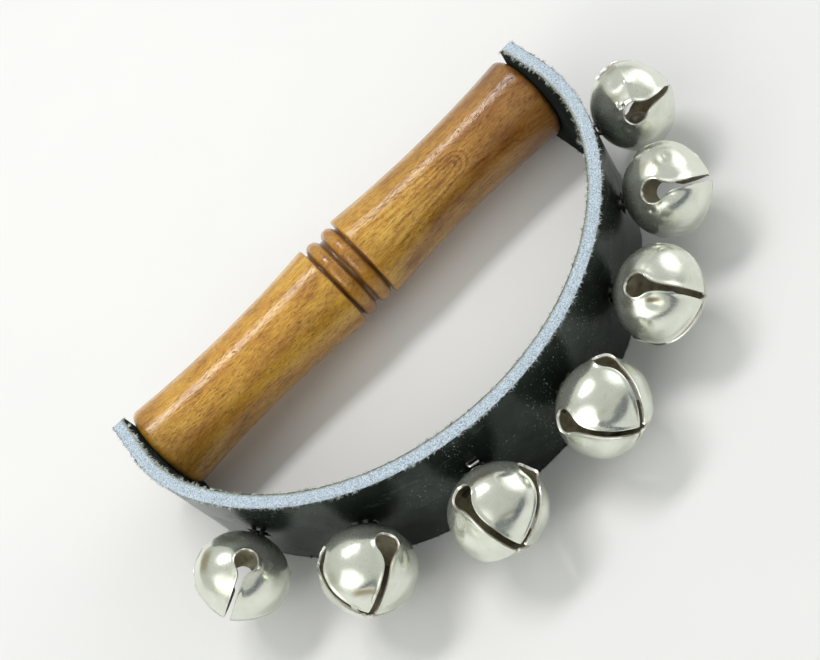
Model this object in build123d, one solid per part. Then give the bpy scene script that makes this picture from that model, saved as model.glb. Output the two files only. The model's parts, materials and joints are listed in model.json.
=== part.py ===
from build123d import *
import os
from math import atan2, cos, degrees, radians, sin, sqrt, tan

# Hand-held sleigh bells: a turned wood handle, a leather strap bent round it in a D, and
# jingle bells hung along the strap. Millimetres.
#
# The object is drawn round the handle: X along the handle, the bells towards -Y, and Z across
# the strap's width. At the end everything is moved, so that the part lies on the strap's lower
# edge, with the origin in the middle of its box, on the floor.

# ---- Driving dimensions ----

# Handle, a turning that is the same both ways from its middle
HANDLE_LENGTH = 152.0
HANDLE_END_RADIUS = 14.3
HANDLE_WAIST_RADIUS = 12.9
WAIST_PLACE = 40.0             # from the handle's middle
HANDLE_RIM_ROUNDING = 2.4
SHOULDER_RADIUS = 14.4
SHOULDER_PLACE = 6.5           # from the handle's middle
SHOULDER_SLOPE = 0.5           # the shoulder leans by this much towards the middle
GROOVE_RADIUS = 12.0
BEAD_RADIUS = 13.95
BEAD_START = 0.6
BEAD_END = 5.4

# Strap
STRAP_WIDTH = 38.0
STRAP_THICKNESS = 4.0
STRAP_OVERHANG = 4.2           # past the handle's axis, at each end
STRAP_CORNER_RADIUS = 2.5
STRAIGHT_END = 11.5            # from the handle's axis to the start of the left bend
APEX_SHIFT = 2.6               # the deepest point lies this far towards +X
LEFT_BEND_RADIUS = 52.5
LEFT_BEND_ANGLE = 24.3
RIGHT_BEND_RADIUS = 64.0
RIGHT_BEND_ANGLE = 28.6

# Bells, from the left end: places along the strap's outer face, measured from its middle, and
# the turn of each bell about its own axis, from the strap's length towards +Z, in degrees
BELL_PLACES = (-82.3, -48.7, -15.7, 16.4, 45.9, 74.3, 102.4)
BELL_TURNS = (54.0, 41.0, 20.0, 49.0, 20.0, 35.0, 51.0)

BELL_RADIUS = 13.0
CROWN_HEIGHT = 11.4            # from the widest place up to the strap's side
PETAL_HEIGHT = 12.2            # from the widest place down to the closed tip
BELL_WALL = 0.7
BELL_GAP = 0.8                 # between the strap and the crown
CROWN_SIDE_RADIUS = 9.5
CROWN_SIDE_ANGLE = 33.0
PETAL_SIDE_RADIUS = 10.6
PETAL_SIDE_ANGLE = 52.0
HOLE_RADIUS = 3.15
HOLE_RISE = 1.3                # hole centre above the widest place
SLIT_WIDTH = 1.7
FUNNEL_START = 0.6             # below the widest place, where the hole starts to narrow
FUNNEL_MOUTH_WIDTH = 5.04
FUNNEL_NECK = 3.6
FUNNEL_NECK_WIDTH = 2.55
FUNNEL_END = 6.0
TIP_OPENING_RADIUS = 1.3
TIP_OPENING_DEPTH = 6.0
PELLET_RADIUS = 3.75
PELLET_GAP = 0.15

# Fixings of each bell
STAPLE_WIRE_RADIUS = 0.5
STAPLE_HALF_WIDTH = 4.5
STAPLE_LEG_END = 0.6           # below the outer face, where a leg ends inside the leather
STAPLE_TIP_BELL = 3            # the bell whose upper leg comes out and is bent over
STAPLE_TIP_LENGTH = 2.8
STAPLE_BEND_RADIUS = 0.6
STAPLE_TIP_GAP = 0.02
STAPLE_SHIFTS = (0.0, 0.0, 0.6, 0.0, 0.0, 0.0, 0.0)   # up the strap's width
LOOP_WIRE_RADIUS = 0.6
LOOP_FIT = 0.06                # radial running fit of the loop on its staple
LOOP_KNEE_DEPTH = 0.2          # the legs spread from here, just inside the strap
LOOP_ANKLE_PLACE = 3.3
LOOP_ANKLE_DEPTH = 1.95        # below the top of the crown
LOOP_FOOT_PLACE = 6.0
LOOP_FOOT_DEPTH = 3.05
LOOP_BEND_RADIUS = 0.75
SLOT_LENGTH = 6.0
SLOT_WIDTH = 1.9
WIRE_CLEARANCE = 0.1

# End fixings
SCREW_RADIUS = 1.75
SCREW_HOLE_RADIUS = 1.82
SCREW_REACH = 24.0             # into the handle
SCREW_POINT = 5.0
SCREW_POINT_RADIUS = 0.2
PILOT_ALLOWANCE = 0.5          # the pilot hole is this much deeper than the screw
SCREW_HEAD_RADIUS = 3.4
SCREW_HEAD_HEIGHT = 2.3
DRIVE_LENGTH = 3.74
DRIVE_WIDTH = 0.8
DRIVE_DEPTH = 1.1
WASHER_RADIUS = 4.1
WASHER_THICKNESS = 0.8
WASHER_ROUNDING = 0.3

THROUGH = 12.0                 # the depth of cuts that go right through the strap or a washer

HALF_LENGTH = HANDLE_LENGTH / 2
HALF_STRAP = HALF_LENGTH + STRAP_THICKNESS / 2
BELL_CENTRE = BELL_GAP + CROWN_HEIGHT


# ---- Handle and its end fixings ----

def handle_half():
    """The half of the handle towards +X, with the pilot hole for its screw."""
    bead_middle = (BEAD_START + BEAD_END) / 2
    rim_centre = (HALF_LENGTH - HANDLE_RIM_ROUNDING, HANDLE_END_RADIUS - HANDLE_RIM_ROUNDING)
    rim_start = (rim_centre[0], HANDLE_END_RADIUS)
    rim_end = (HALF_LENGTH, rim_centre[1])
    outline = [
        Line((0, 0), (0, GROOVE_RADIUS)),
        Line((0, GROOVE_RADIUS), (BEAD_START, GROOVE_RADIUS)),
        ThreePointArc((BEAD_START, GROOVE_RADIUS), (bead_middle, BEAD_RADIUS), (BEAD_END, GROOVE_RADIUS)),
        Line((BEAD_END, GROOVE_RADIUS), (SHOULDER_PLACE - SHOULDER_SLOPE, GROOVE_RADIUS)),
        Line((SHOULDER_PLACE - SHOULDER_SLOPE, GROOVE_RADIUS), (SHOULDER_PLACE, SHOULDER_RADIUS)),
        ThreePointArc((SHOULDER_PLACE, SHOULDER_RADIUS), (WAIST_PLACE, HANDLE_WAIST_RADIUS), rim_start),
        RadiusArc(rim_start, rim_end, HANDLE_RIM_ROUNDING),
        Line(rim_end, (HALF_LENGTH, 0)),
        Line((HALF_LENGTH, 0), (0, 0)),
    ]
    turned = revolve(make_face(outline), axis=Axis.X)
    hole_length = SCREW_REACH + PILOT_ALLOWANCE
    hole_middle = HALF_LENGTH - hole_length / 2
    pilot_hole = Pos(hole_middle, 0, 0) * Rot(0, 90, 0) * Cylinder(SCREW_HOLE_RADIUS, hole_length)
    return turned - pilot_hole


def make_handle():
    right_half = handle_half()
    return right_half + mirror(right_half, about=Plane.YZ)


def end_place(side):
    """A frame on the strap's outer face at one end, with Z pointing away from the handle."""
    face_x = side * (HALF_LENGTH + STRAP_THICKNESS)
    return Plane(origin=(face_x, 0, 0), x_dir=(0, side, 0), z_dir=(side, 0, 0))


def make_washer(side):
    disc = Cylinder(WASHER_RADIUS, WASHER_THICKNESS, align=(Align.CENTER, Align.CENTER, Align.MIN))
    outer_rim = disc.edges().filter_by(GeomType.CIRCLE).group_by(Axis.Z)[-1]
    washer = fillet(outer_rim, WASHER_ROUNDING) - Cylinder(SCREW_HOLE_RADIUS, THROUGH)
    return end_place(side) * washer


def make_screw(side):
    """A round-head wood screw with a cross drive."""
    length = WASHER_THICKNESS + STRAP_THICKNESS + SCREW_REACH
    shank_length = length - SCREW_POINT
    shank = Pos(0, 0, -shank_length / 2) * Cylinder(SCREW_RADIUS, shank_length)
    point = Pos(0, 0, -shank_length - SCREW_POINT / 2) * Cone(SCREW_POINT_RADIUS, SCREW_RADIUS, SCREW_POINT)
    dome_radius = (SCREW_HEAD_RADIUS ** 2 + SCREW_HEAD_HEIGHT ** 2) / (2 * SCREW_HEAD_HEIGHT)
    dome = Pos(0, 0, SCREW_HEAD_HEIGHT - dome_radius) * Sphere(dome_radius)
    above_washer = Pos(0, 0, SCREW_HEAD_HEIGHT / 2) * Cylinder(SCREW_HEAD_RADIUS, SCREW_HEAD_HEIGHT)
    head = dome & above_washer
    drive_top = Pos(0, 0, SCREW_HEAD_HEIGHT)
    head -= drive_top * Box(DRIVE_LENGTH, DRIVE_WIDTH, 2 * DRIVE_DEPTH)
    head -= drive_top * Box(DRIVE_WIDTH, DRIVE_LENGTH, 2 * DRIVE_DEPTH)
    screw = head + shank + point
    return end_place(side) * Pos(0, 0, WASHER_THICKNESS) * screw


# ---- Strap ----

def side_arcs(half_width, bend_radius, bend_angle):
    """For one side of the D: the radius of its main arc, which ends level at the deepest point."""
    turn = radians(bend_angle)
    return bend_radius + (half_width - bend_radius) / cos(turn)


def strap_shape():
    """The strap's arcs as (centre, radius, start angle, sweep) on its middle line, from the left
    end to the right end, and the length of its right straight end."""
    left_main = side_arcs(HALF_STRAP + APEX_SHIFT, LEFT_BEND_RADIUS, LEFT_BEND_ANGLE)
    right_main = side_arcs(HALF_STRAP - APEX_SHIFT, RIGHT_BEND_RADIUS, RIGHT_BEND_ANGLE)
    left_rise = (left_main - LEFT_BEND_RADIUS) * sin(radians(LEFT_BEND_ANGLE))
    right_rise = (right_main - RIGHT_BEND_RADIUS) * sin(radians(RIGHT_BEND_ANGLE))
    depth = left_main + STRAIGHT_END - left_rise
    right_straight = depth - right_main + right_rise
    arcs = [
        ((LEFT_BEND_RADIUS - HALF_STRAP, -STRAIGHT_END), LEFT_BEND_RADIUS, 180, LEFT_BEND_ANGLE),
        ((APEX_SHIFT, left_main - depth), left_main, 180 + LEFT_BEND_ANGLE, 90 - LEFT_BEND_ANGLE),
        ((APEX_SHIFT, right_main - depth), right_main, 270, 90 - RIGHT_BEND_ANGLE),
        ((HALF_STRAP - RIGHT_BEND_RADIUS, -right_straight), RIGHT_BEND_RADIUS, 360 - RIGHT_BEND_ANGLE,
         RIGHT_BEND_ANGLE),
    ]
    return arcs, right_straight


def strap_line(offset):
    """The strap's line in plan, moved outwards by an offset, from the left end to the right."""
    arcs, right_straight = strap_shape()
    x = HALF_STRAP + offset
    edges = [Line((-x, STRAP_OVERHANG), (-x, -STRAIGHT_END))]
    for centre, radius, start, sweep in arcs:
        edges.append(CenterArc(centre, radius + offset, start, sweep))
    edges.append(Line((x, -right_straight), (x, STRAP_OVERHANG)))
    return Wire(edges)


def bell_place(index):
    """A bell's frame on the strap's outer face: X along the strap, Z straight out of it."""
    outer_line = strap_line(STRAP_THICKNESS / 2)
    distance = outer_line.length / 2 + BELL_PLACES[index]
    point = outer_line.position_at(distance, position_mode=PositionMode.LENGTH)
    along = outer_line.tangent_at(distance, position_mode=PositionMode.LENGTH)
    outwards = Vector(along.Y, -along.X, 0)
    return Plane(origin=point, x_dir=along, z_dir=outwards)


def staple_height(index, side):
    """How far up the strap's width a staple's leg stands."""
    return STAPLE_SHIFTS[index] + side * STAPLE_HALF_WIDTH


def tip_shows(index, side):
    """Only one leg comes out on the strap's outer face. The others end inside the leather."""
    return index + 1 == STAPLE_TIP_BELL and side > 0


def staple_hole(index, side):
    """The hole for a staple's leg, from the inner face up to just past the leg's end."""
    top = THROUGH / 2 if tip_shows(index, side) else WIRE_CLEARANCE - STAPLE_LEG_END
    length = top + THROUGH / 2
    hole = Cylinder(STAPLE_WIRE_RADIUS + WIRE_CLEARANCE, length)
    return Pos(0, staple_height(index, side), top - length / 2) * hole


def fixing_cuts(index):
    """The slot for a bell's loop and the two holes for its staple."""
    slot = extrude(SlotOverall(SLOT_LENGTH, SLOT_WIDTH), THROUGH / 2, both=True)
    place = bell_place(index)
    return [place * cut for cut in (slot, staple_hole(index, -1), staple_hole(index, 1))]


def make_strap():
    outer = strap_line(STRAP_THICKNESS / 2)
    inner = strap_line(-STRAP_THICKNESS / 2)
    left_end = Line(inner @ 0, outer @ 0)
    right_end = Line(outer @ 1, inner @ 1)
    outline = make_face(outer.edges() + inner.edges() + [left_end, right_end])
    strap = extrude(outline, STRAP_WIDTH / 2, both=True)
    corners = strap.edges().filter_by(Axis.X).group_by(Axis.Y)[-1]
    strap = fillet(corners, STRAP_CORNER_RADIUS)
    for index in range(len(BELL_PLACES)):
        strap -= fixing_cuts(index)
    for side in (-1, 1):
        strap -= end_place(side) * Cylinder(SCREW_HOLE_RADIUS, THROUGH)
    return strap


# ---- Bell ----

def bell_profile(inset):
    """Half the bell's outline, moved inwards by an inset, turned about its axis. In this frame
    the widest place is at the origin, and the closed tip is towards +Y."""
    crown_angle = radians(CROWN_SIDE_ANGLE)
    crown_centre = BELL_RADIUS - CROWN_SIDE_RADIUS
    dome_radius = CROWN_SIDE_RADIUS + crown_centre / cos(crown_angle)
    dome_centre = crown_centre * tan(crown_angle)
    top = dome_centre - dome_radius + inset
    petal_centre = BELL_RADIUS - PETAL_SIDE_RADIUS
    petal_angle = radians(PETAL_SIDE_ANGLE)
    petal_point = Vector(petal_centre + PETAL_SIDE_RADIUS * cos(petal_angle),
                         PETAL_SIDE_RADIUS * sin(petal_angle))
    inwards = Vector(-cos(petal_angle), -sin(petal_angle))
    tip = Vector(0, PETAL_HEIGHT)
    chord = tip - petal_point
    tip_radius = chord.length ** 2 / (2 * chord.dot(inwards))
    tip_centre = petal_point + inwards * tip_radius
    tip_height = tip_centre.Y + sqrt((tip_radius - inset) ** 2 - tip_centre.X ** 2)
    tip_angle = degrees(atan2(tip_height - tip_centre.Y, -tip_centre.X))
    edges = [
        CenterArc((0, dome_centre), dome_radius - inset, 270, 90 - CROWN_SIDE_ANGLE),
        CenterArc((crown_centre, 0), CROWN_SIDE_RADIUS - inset, -CROWN_SIDE_ANGLE, CROWN_SIDE_ANGLE),
        CenterArc((petal_centre, 0), PETAL_SIDE_RADIUS - inset, 0, PETAL_SIDE_ANGLE),
        CenterArc((tip_centre.X, tip_centre.Y), tip_radius - inset, PETAL_SIDE_ANGLE,
                  tip_angle - PETAL_SIDE_ANGLE),
        Line((0, tip_height), (0, top)),
    ]
    return make_face(edges)


def solid_of_bell(inset):
    turned = revolve(bell_profile(inset), axis=Axis.Y)
    return Rot(90, 0, 0) * turned


def keyhole_cut():
    """A round hole that narrows into a slit, cut straight through both sides of the bell."""
    far = PETAL_HEIGHT + BELL_WALL
    half = SLIT_WIDTH / 2
    mouth = FUNNEL_MOUTH_WIDTH / 2
    neck = FUNNEL_NECK_WIDTH / 2
    funnel = Polyline(
        (-mouth, FUNNEL_START), (-neck, FUNNEL_NECK), (-half, FUNNEL_END), (-half, far),
        (half, far), (half, FUNNEL_END), (neck, FUNNEL_NECK), (mouth, FUNNEL_START),
        (-mouth, FUNNEL_START))
    outline = make_face(funnel) + Pos(0, -HOLE_RISE) * Circle(HOLE_RADIUS)
    return extrude(Plane.XZ * outline, 2 * BELL_RADIUS, both=True)


def make_shell(index):
    hollow = solid_of_bell(0) - solid_of_bell(BELL_WALL)
    keyhole = keyhole_cut()
    tip_opening = Pos(0, 0, PETAL_HEIGHT) * Cylinder(TIP_OPENING_RADIUS, TIP_OPENING_DEPTH)
    shell = hollow - keyhole - Rot(0, 0, 90) * keyhole - tip_opening
    shell = Pos(0, 0, BELL_CENTRE) * Rot(0, 0, BELL_TURNS[index]) * shell
    shell -= loop_wire(LOOP_WIRE_RADIUS + WIRE_CLEARANCE)
    return bell_place(index) * shell


def loop_wire(wire_radius):
    """The bent wire that goes round the staple, through the strap and into the crown."""
    bend = STAPLE_WIRE_RADIUS + LOOP_FIT + LOOP_WIRE_RADIUS
    pivot = -STRAP_THICKNESS - STAPLE_WIRE_RADIUS
    foot = (LOOP_FOOT_PLACE, BELL_GAP + LOOP_FOOT_DEPTH)
    ankle = (LOOP_ANKLE_PLACE, BELL_GAP + LOOP_ANKLE_DEPTH)
    knee = (bend, -LOOP_KNEE_DEPTH)
    top = (bend, pivot)
    right = FilletPolyline(foot, ankle, knee, top, radius=LOOP_BEND_RADIUS)
    left = mirror(right, about=Plane.YZ)
    over = CenterArc((0, pivot), bend, 180, 180)
    path = Plane.XZ * Wire(right.edges() + over.edges() + left.edges())
    section = Plane(path @ 0, z_dir=path % 0) * Circle(wire_radius)
    return sweep(section, path=path)


def make_loop(index):
    return bell_place(index) * loop_wire(LOOP_WIRE_RADIUS)


def staple_leg(index, side):
    """The points of one leg's middle line, from its free end to the staple's crown."""
    height = staple_height(index, side)
    crown = (0, height, -STRAP_THICKNESS - STAPLE_WIRE_RADIUS)
    if not tip_shows(index, side):
        return [(0, height, -STAPLE_LEG_END), crown]
    outside = STAPLE_WIRE_RADIUS + STAPLE_TIP_GAP
    return [(STAPLE_TIP_LENGTH, height, outside), (0, height, outside), crown]


def make_staple(index):
    """A wire staple through the loop, pushed into the strap from its inner face."""
    points = staple_leg(index, -1) + staple_leg(index, 1)[::-1]
    path = FilletPolyline(*points, radius=STAPLE_BEND_RADIUS)
    section = Plane(path @ 0, z_dir=path % 0) * Circle(STAPLE_WIRE_RADIUS)
    return bell_place(index) * sweep(section, path=path)


def make_pellet(index):
    """The steel ball at rest on the lowest place of its shell."""
    drop = BELL_RADIUS - BELL_WALL - PELLET_RADIUS - PELLET_GAP
    return bell_place(index) * Pos(0, -drop, BELL_CENTRE) * Sphere(PELLET_RADIUS)


# ---- Assembly ----

def make_parts():
    parts = {
        "handle": make_handle(),
        "strap": make_strap(),
        "screw_left": make_screw(-1),
        "screw_right": make_screw(1),
        "washer_left": make_washer(-1),
        "washer_right": make_washer(1),
    }
    for index in range(len(BELL_PLACES)):
        number = index + 1
        parts[f"bell_shell_{number}"] = make_shell(index)
        parts[f"bell_loop_{number}"] = make_loop(index)
        parts[f"bell_pellet_{number}"] = make_pellet(index)
        parts[f"bell_staple_{number}"] = make_staple(index)
    return parts


def floor_move(parts):
    """The move that puts the origin in the middle of the part's box, on the floor."""
    box = Compound(children=[Compound(part.solids()) for part in parts.values()]).bounding_box()
    return Pos(-box.center().X, -box.center().Y, -box.min.Z)


handle_frame_parts = make_parts()
to_floor = floor_move(handle_frame_parts)
os.makedirs("parts", exist_ok=True)
for name, part in handle_frame_parts.items():
    export_step(to_floor * part, f"parts/{name}.step")
print("moved by", to_floor.position)
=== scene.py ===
import json
import random
from math import asin, atan2, cos, degrees, exp, hypot, inf, pi, radians, sin, sqrt

import bmesh
import bpy
import numpy as np
from mathutils import Matrix, Vector, noise


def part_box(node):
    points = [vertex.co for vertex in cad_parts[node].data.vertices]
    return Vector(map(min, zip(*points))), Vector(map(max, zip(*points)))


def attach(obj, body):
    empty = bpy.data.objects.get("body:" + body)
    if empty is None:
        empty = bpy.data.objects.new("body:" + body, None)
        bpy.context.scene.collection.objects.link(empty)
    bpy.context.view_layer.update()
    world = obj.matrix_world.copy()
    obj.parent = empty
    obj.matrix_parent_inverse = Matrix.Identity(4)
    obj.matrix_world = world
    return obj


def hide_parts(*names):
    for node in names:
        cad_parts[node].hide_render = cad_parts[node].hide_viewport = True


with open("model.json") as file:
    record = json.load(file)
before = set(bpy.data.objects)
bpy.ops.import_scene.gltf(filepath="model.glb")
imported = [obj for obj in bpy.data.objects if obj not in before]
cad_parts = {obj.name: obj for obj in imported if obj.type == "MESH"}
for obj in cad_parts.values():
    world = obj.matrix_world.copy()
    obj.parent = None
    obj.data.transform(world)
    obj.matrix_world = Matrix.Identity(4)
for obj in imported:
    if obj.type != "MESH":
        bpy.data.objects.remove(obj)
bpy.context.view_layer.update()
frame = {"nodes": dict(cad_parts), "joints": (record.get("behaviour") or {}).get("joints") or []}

# Hand-held sleigh bells. The frame gives where the handle, the strap and each bell are; the
# shapes below are worked out in millimetres about those places and turned into metres at the end.
MM = 0.001
JOINTS = {joint["name"]: joint for joint in frame["joints"]}
BELL_NUMBERS = range(1, 8)


def middle_of(node):
    low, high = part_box(node)
    return (low + high) / 2


HANDLE_MIDDLE = middle_of("handle")

# ---- Driving dimensions, in millimetres ----

HANDLE_HALF = 76.0
HANDLE_END_RADIUS = 14.3
HANDLE_WAIST_RADIUS = 12.9
HANDLE_WAIST_PLACE = 40.0
HANDLE_RIM_ROUNDING = 2.4
SHOULDER_RADIUS = 14.4
SHOULDER_PLACE = 6.5
GROOVE_RADIUS = 12.0
BEAD_RADIUS = 13.95
BEAD_START = 0.6
BEAD_END = 5.4

PITH = (25.7, -30.6)  # where the tree's middle passes, beside the handle
FIGURE_PLACE = 42.0  # where the rings of the tongue figure begin to close, on the right half
FIGURE_ANGLE = 129.0  # degrees round the handle, from +Y towards +Z
FIGURE_HALF_WIDTH = 5.5
FIGURE_TAPER = 34.0  # over this length, towards the middle, the tongue grows twice as wide
FIGURE_SHIFT = 1.1
FIGURE_FADES_IN = (6.0, 16.0)  # places along the handle, from its middle
BAND_FADES_OUT = (66.0, 56.0)

STRAP_HALF_WIDTH = 19.0
STRAP_THICKNESS = 4.0
STRAP_OVERHANG = 4.2
STRAP_CORNER_RADIUS = 2.5
STRAIGHT_END = 11.5
APEX_SHIFT = 2.6
LEFT_BEND = (52.5, 24.3)  # radius and angle in degrees
RIGHT_BEND = (64.0, 28.6)
SLOT_LENGTH = 6.6  # worn a little longer by the loops
SLOT_WIDTH = 1.95
STAPLE_HALF_WIDTH = 4.5
STAPLE_HOLE_RADIUS = 0.6
STAPLE_HOLE_BOTTOM = -3.0  # from the staple's crown
STAPLE_HOLE_TOP = 4.0  # short of the outer face
THROUGH_HOLE_TOP = 8.0  # the one whose leg comes out beside the third bell
CUTTER_REACH = 6.0  # far enough to pass both faces of the strap
SCREW_HOLE_RADIUS = 1.82
THIRD_STAPLE_SHIFT = 0.6
STATION_STEP = 0.42  # between points along the strap
EDGE_STEPS = 6  # steps across half a cut edge
EDGE_POINTS = 2 * EDGE_STEPS - 1

BELL_TURNS = (54.0, 41.0, 20.0, 49.0, 20.0, 35.0, 51.0)  # degrees about each bell's own axis
BELL_WALL = 0.7
DOME = (0.0, 2.273, 13.673)  # centre across, centre along the axis, radius
CROWN_SIDE = (3.5, 0.0, 9.5)
PETAL_SIDE = (2.4, 0.0, 10.6)
PETAL_TIP = (-2.86, -6.74, 19.15)
DOME_END = -5.174  # heights where one arc hands over to the next
PETAL_SIDE_END = 8.353
HOLE_RADIUS = 3.15
HOLE_HEIGHT = -1.3
FUNNEL_START = 0.6
FUNNEL_END = 6.0
SLIT_HALF = 0.85
NOSE_START_RADIUS = 2.1  # the petals' rounded noses lie between these radii
NOSE_END_RADIUS = 1.2
PETAL_COLUMNS = 38  # quads across a petal
BELL_EDGE_ROUNDING = 0.2
FASTENER_EDGE_ROUNDING = 0.12

# The camera, fitted to the photo: its place about the handle's middle, its lens and its axes
CAMERA_PLACE = (-13.6, -261.4, 275.3)
CAMERA_LENS = 55.84
CAMERA_RIGHT = (0.7131, -0.5563, -0.4267)
CAMERA_DOWN = (-0.7001, -0.5320, -0.4763)
CAMERA_FORWARD = (0.0379, 0.6384, -0.7688)


# ---- Small helpers ----

def add_object(name, data):
    obj = bpy.data.objects.new(name, data)
    bpy.context.scene.collection.objects.link(obj)
    return obj


def piece_from(name, points, faces, body, materials):
    """A mesh piece from points in millimetres about the handle's middle."""
    mesh = bpy.data.meshes.new(name)
    placed = np.asarray(points, float) * MM + np.array(HANDLE_MIDDLE)
    mesh.from_pydata(placed.tolist(), [], faces)
    mesh.update()
    for material in materials:
        mesh.materials.append(material)
    mesh.polygons.foreach_set("use_smooth", [True] * len(mesh.polygons))
    obj = add_object(name, mesh)
    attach(obj, body)
    return obj


def float_layer(obj, name, values):
    layer = obj.data.attributes.new(name, "FLOAT", "POINT")
    layer.data.foreach_set("value", np.asarray(values, np.float32))


def ripple(point, size, seed):
    """Smooth noise from about -1 to 1, whose lumps are about as large as size."""
    return noise.noise(Vector(point) / size + Vector((seed, 2.3 * seed, -1.7 * seed)))


def grid_faces(rows, columns, start=0, closed=False):
    """Quads over a grid of points that starts at an index; closed joins the last column to the first."""
    faces = []
    for i in range(rows - 1):
        for j in range(columns if closed else columns - 1):
            a = start + i * columns + j
            b = start + i * columns + (j + 1) % columns
            faces.append((a, b, b + columns, a + columns))
    return faces


def round_edges(obj, width, angle):
    """Rounds the edges whose faces meet at more than an angle in degrees."""
    rounding = obj.modifiers.new("rounding", "BEVEL")
    rounding.width = width * MM
    rounding.segments = 2
    rounding.limit_method = "ANGLE"
    rounding.angle_limit = radians(angle)


# ---- Materials ----

def new_material(name):
    material = bpy.data.materials.new(name)
    material.use_nodes = True
    tree = material.node_tree
    return material, tree, tree.nodes["Principled BSDF"]


def is_socket(value):
    return isinstance(value, bpy.types.NodeSocket)


def fill(node, inputs):
    """Sets a node's inputs: a socket is linked, and anything else is the input's value."""
    for key, value in dict(inputs).items():
        if is_socket(value):
            node.id_data.links.new(value, node.inputs[key])
        else:
            node.inputs[key].default_value = value


def add_node(tree, kind, inputs=(), **settings):
    made = tree.nodes.new(kind)
    for key, value in settings.items():
        setattr(made, key, value)
    fill(made, inputs)
    return made


def add_after(socket, kind, inputs, **settings):
    """A node in the same tree as a socket."""
    return add_node(socket.id_data, kind, inputs, **settings)


def object_place(tree, stretch=(1, 1, 1)):
    """The surface point in millimetres, scaled along each axis."""
    place = add_node(tree, "ShaderNodeTexCoord").outputs["Object"]
    scale = [s / MM for s in stretch]
    return add_node(tree, "ShaderNodeMapping", {"Vector": place, "Scale": scale}).outputs["Vector"]


def noise_of(place, size, detail=3.0, roughness=0.5, distortion=0.0):
    """Noise whose lumps are about size across, in the units of place."""
    inputs = {"Vector": place, "Scale": 1 / size, "Detail": detail, "Roughness": roughness,
              "Distortion": distortion}
    return add_after(place, "ShaderNodeTexNoise", inputs).outputs["Fac"]


def remap(value, low, high, to_low=0.0, to_high=1.0, **settings):
    inputs = {"Value": value, "From Min": low, "From Max": high, "To Min": to_low, "To Max": to_high}
    return add_after(value, "ShaderNodeMapRange", inputs, **settings).outputs["Result"]


def calculate(operation, a, b=0.0):
    return add_after(a, "ShaderNodeMath", {0: a, 1: b}, operation=operation).outputs[0]


def plus(a, b):
    return calculate("ADD", a, b)


def minus(a, b):
    return calculate("SUBTRACT", a, b)


def times(a, b):
    return calculate("MULTIPLY", a, b)


def apart(a, b):
    return calculate("ABSOLUTE", minus(a, b))


def length_of(a, b):
    return calculate("SQRT", plus(times(a, a), times(b, b)))


def mix_colours(factor, a, b, blend_type="MIX"):
    values = {"Factor_Float": factor, "A_Color": a, "B_Color": b}
    known = next(value for value in values.values() if is_socket(value))
    made = add_after(known, "ShaderNodeMix", {}, data_type="RGBA", blend_type=blend_type)
    for socket in made.inputs:
        value = values.get(socket.identifier)
        if is_socket(value):
            known.id_data.links.new(value, socket)
        elif value is not None:
            socket.default_value = value if value is factor else (*value, 1)
    return next(s for s in made.outputs if s.identifier == "Result_Color")


def cover(colour, mask, strength, over, blend_type="MIX"):
    """A colour with another one over it where the mask is bright."""
    return mix_colours(times(mask, strength), colour, over, blend_type)


def colour_ramp(factor, stops):
    ramp = add_after(factor, "ShaderNodeValToRGB", {"Fac": factor})
    points = ramp.color_ramp.elements
    while len(points) < len(stops):
        points.new(0.5)
    for point, (place, colour) in zip(points, stops):
        point.position = place
        point.color = (*colour, 1)
    return ramp.outputs["Color"]


def bump_normal(layers):
    """The normal from (height, strength, distance in millimetres) layers, one on top of another."""
    normal = None
    for height, strength, distance in layers:
        inputs = {"Height": height, "Strength": strength, "Distance": distance * MM}
        if normal is not None:
            inputs["Normal"] = normal
        normal = add_after(height, "ShaderNodeBump", inputs).outputs["Normal"]
    return normal


def attribute_value(tree, name):
    return add_node(tree, "ShaderNodeAttribute", attribute_name=name).outputs["Fac"]


def metal_material(name, colour, dark, roughness, tarnish=None, haze=0.0, stain_and_reflection=None):
    """Plated or bright metal: cloudy colour, uneven polish, fine scratches and a faint orange peel.
    Roughness is (lowest, highest); haze is how much a dull film scatters the light; the last argument is
    the colour of warm marks, partly real stains and partly painted reflections, laid where their point layer
    is 1."""
    material, tree, shader = new_material(name)
    place = object_place(tree)
    clouds = noise_of(place, 5.0, detail=4.0)
    fine = noise_of(place, 0.35)
    lines = noise_of(object_place(tree, (0.9, 0.25, 1.7)), 1.6, detail=2.0, distortion=0.4)
    scratches = remap(apart(lines, 0.5), 0.0, 0.006, 1.0, 0.0)
    cloudy = mix_colours(remap(clouds, 0.35, 0.7), colour, dark)
    if tarnish:
        spots = remap(noise_of(place, 1.9, detail=6.0, roughness=0.6), 0.6, 0.72)
        cloudy = cover(cloudy, spots, 0.45, tarnish)
    # Warm marks: partly real stains, partly painted reflections.
    if stain_and_reflection:
        cloudy = mix_colours(attribute_value(tree, "stain_and_reflection"), cloudy, stain_and_reflection)
    uneven = plus(times(clouds, 0.8), times(fine, 0.2))
    worn = plus(remap(uneven, 0.3, 0.7, *roughness), times(scratches, 0.12))
    lumps = noise_of(place, 1.1, detail=2.0)
    normal = bump_normal([(lumps, 0.5, 0.03), (fine, 0.15, 0.01), (scratches, 0.25, -0.01)])
    fill(shader, {"Base Color": cloudy, "Roughness": worn, "Metallic": 1.0 - haze, "Normal": normal})
    return material


def bell_inside_material():
    """The unpolished inside of a bell, dark with drawing grease and dust."""
    material, tree, shader = new_material("nickel_inside")
    place = object_place(tree)
    dirt = noise_of(place, 2.4, detail=5.0)
    stops = [(0.3, (0.66, 0.63, 0.5)), (0.55, (0.5, 0.46, 0.33)), (0.75, (0.28, 0.23, 0.14))]
    colour = colour_ramp(dirt, stops)
    fill(shader, {"Base Color": colour, "Roughness": remap(dirt, 0.3, 0.7, 0.32, 0.6),
                        "Metallic": 0.6,
                        "Normal": bump_normal([(noise_of(place, 0.5), 0.4, 0.03)])})
    return material


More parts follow.
